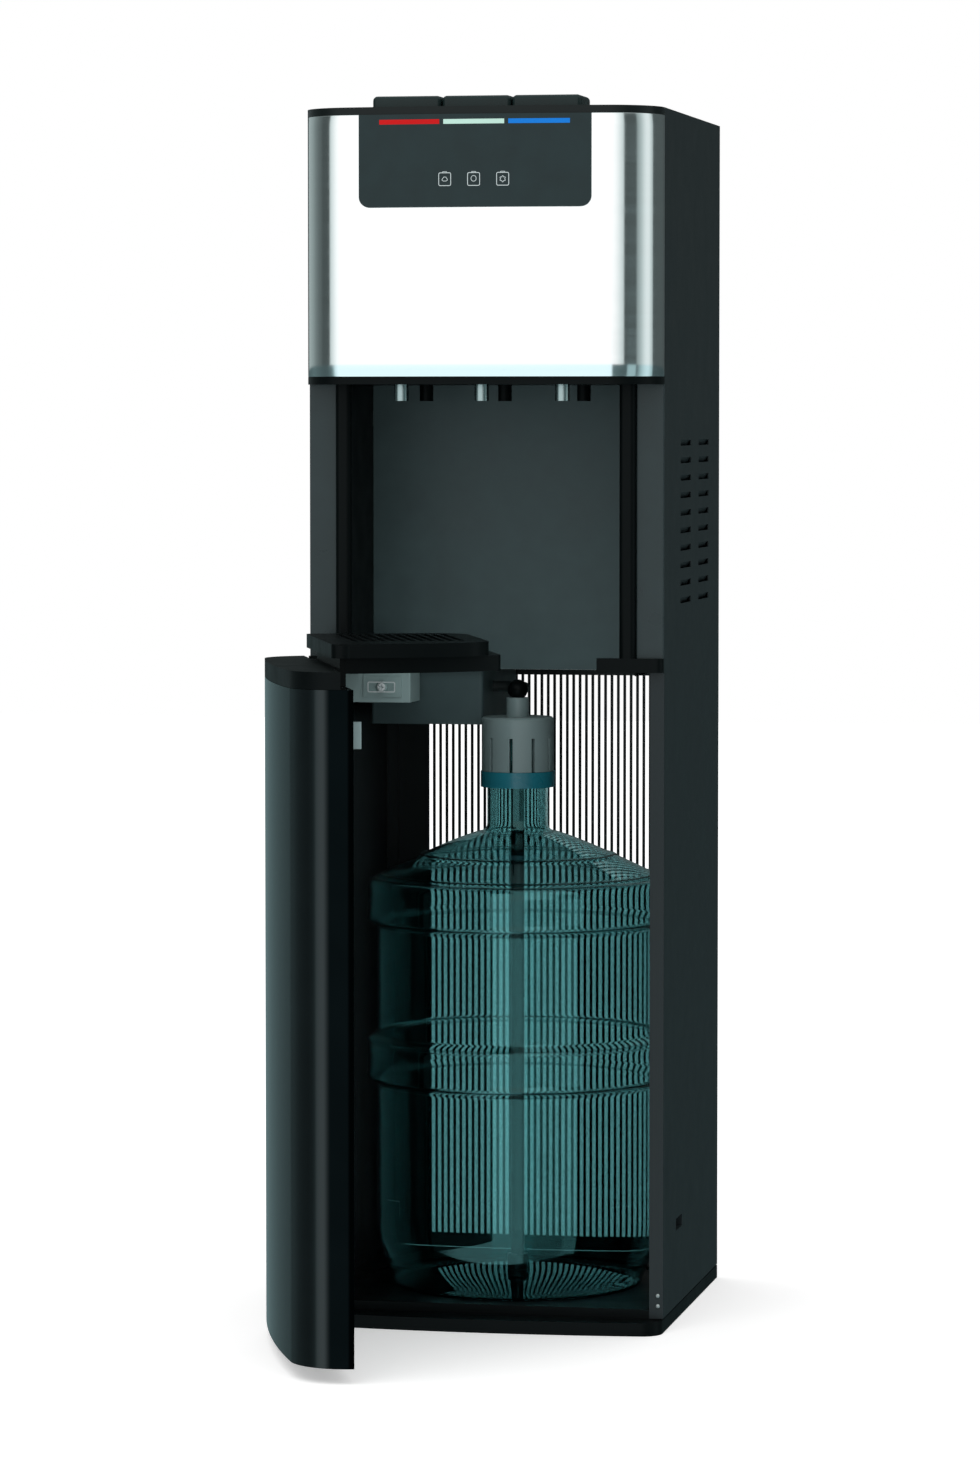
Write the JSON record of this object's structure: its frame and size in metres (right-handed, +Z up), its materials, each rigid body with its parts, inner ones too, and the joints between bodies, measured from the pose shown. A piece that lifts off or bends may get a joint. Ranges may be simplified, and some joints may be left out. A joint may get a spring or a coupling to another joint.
{
  "type": "bottom load water cooler",
  "caption": "Floor-standing bottom load water cooler with a bowed steel head, dispensing alcove, push pads and a hinged door over the bottle bay.",
  "frame": {"origin": "on the floor, under the middle of the side panels", "axes": "+X to the right seen from the front, +Y to the back, +Z up"},
  "size_m": [0.3387, 0.6158, 1.0605],
  "materials": {
    "steel_panel": "satin dark grey paint",
    "brushed": "fine brushed stainless",
    "silver_plastic": "satin grey",
    "black_plastic": "fine matte grain",
    "gloss_black": "high gloss",
    "dark_grey": "fine satin grain",
    "panel_grey": "satin smoked",
    "red_light": "translucent",
    "white_light": "translucent",
    "blue_light": "translucent",
    "chrome": "polished",
    "bottle_plastic": "clear tinted polycarbonate",
    "white_plastic": "satin moulded",
    "teal_plastic": "satin moulded",
    "grey_plastic": "satin moulded",
    "silicone": "soft hose",
    "tank_steel": "bead-blasted",
    "foam": "moulded foam",
    "compressor_black": "gloss enamel",
    "copper_black": "enamelled tube",
    "board_green": "solder mask",
    "zinc": "zinc plated",
    "rubber_foot": "moulded rubber",
    "red_rocker": "moulded"
  },
  "bodies": {
    "root": {"base_tray": "black_plastic", "side_panel_left": "steel_panel", "side_panel_right": "steel_panel", "rear_grille": "steel_panel", "rear_panel": "steel_panel", "machine_shelf": "zinc", "tank_shelf": "zinc", "top_cover": "black_plastic", "head_panel": "brushed", "control_panel": "panel_grey", "light_strip_hot": "red_light", "light_strip_room": "white_light", "light_strip_cold": "blue_light", "head_band": "black_plastic", "tap_switches": "black_plastic", "control_board": "board_green", "tap_spouts": "chrome", "tap_valves": "black_plastic", "column_left": "silver_plastic", "column_right": "silver_plastic", "alcove_wall_left": "dark_grey", "alcove_wall_right": "dark_grey", "alcove_back": "dark_grey", "sill_left": "black_plastic", "sill_right": "black_plastic", "hinge_pins": "zinc", "water_bottle": "bottle_plastic", "probe_cap": "white_plastic", "bottle_collar": "teal_plastic", "dip_tube": "white_plastic", "probe_elbow": "black_plastic", "water_hoses": "silicone", "pump_housing": "dark_grey", "water_pump": "black_plastic", "service_box": "grey_plastic", "service_box_cover": "grey_plastic", "compressor": "compressor_black", "compressor_feet": "rubber_foot", "cold_tank": "tank_steel", "cold_tank_jacket": "foam", "hot_tank": "tank_steel", "heater_band": "tank_steel", "condenser_coil": "copper_black", "switch_frames": "black_plastic", "cord_inlet": "black_plastic", "drain_plug": "white_plastic", "case_screws": "zinc"},
    "door": {"door_front_panel": "gloss_black", "door_cheek_latch": "gloss_black", "door_cheek_hinge": "gloss_black", "door_inner_panel": "dark_grey", "door_cap": "black_plastic", "latch_tongue": "white_plastic"},
    "drip_tray": {"drip_tray": "black_plastic"},
    "drip_grille": {"drip_grille": "black_plastic"},
    "pad_hot": {"pad_hot": "black_plastic"},
    "pad_room": {"pad_room": "black_plastic"},
    "pad_cold": {"pad_cold": "black_plastic"},
    "switch_cold": {"switch_cold": "black_plastic"},
    "switch_hot": {"switch_hot": "red_rocker"}
  },
  "joints": [
    {"name": "door_swing", "type": "hinge", "parent": "root", "child": "door", "pos_m": [-0.152, -0.1588, 0.29], "axis": [0, 0, 1], "range_deg": [-23.5, 71.5]},
    {"name": "drip_tray_lift", "type": "slide", "parent": "door", "child": "drip_tray", "axis": [0, 0, 1], "range_m": [0, 0.05]},
    {"name": "drip_grille_lift", "type": "slide", "parent": "drip_tray", "child": "drip_grille", "axis": [0, 0, 1], "range_m": [0, 0.03]},
    {"name": "pad_hot_press", "type": "slide", "parent": "root", "child": "pad_hot", "axis": [0, 0, -1], "range_m": [0, 0.003], "stiffness_N_per_m": 600, "springref_m": -0.002},
    {"name": "pad_room_press", "type": "slide", "parent": "root", "child": "pad_room", "axis": [0, 0, -1], "range_m": [0, 0.003], "stiffness_N_per_m": 600, "springref_m": -0.002},
    {"name": "pad_cold_press", "type": "slide", "parent": "root", "child": "pad_cold", "axis": [0, 0, -1], "range_m": [0, 0.003], "stiffness_N_per_m": 600, "springref_m": -0.002},
    {"name": "switch_cold_rock", "type": "hinge", "parent": "root", "child": "switch_cold", "pos_m": [0.061, 0.155, 0.64], "axis": [1, 0, 0], "range_deg": [-10, 10]},
    {"name": "switch_hot_rock", "type": "hinge", "parent": "root", "child": "switch_hot", "pos_m": [0.095, 0.155, 0.64], "axis": [1, 0, 0], "range_deg": [-10, 10]}
  ]
}
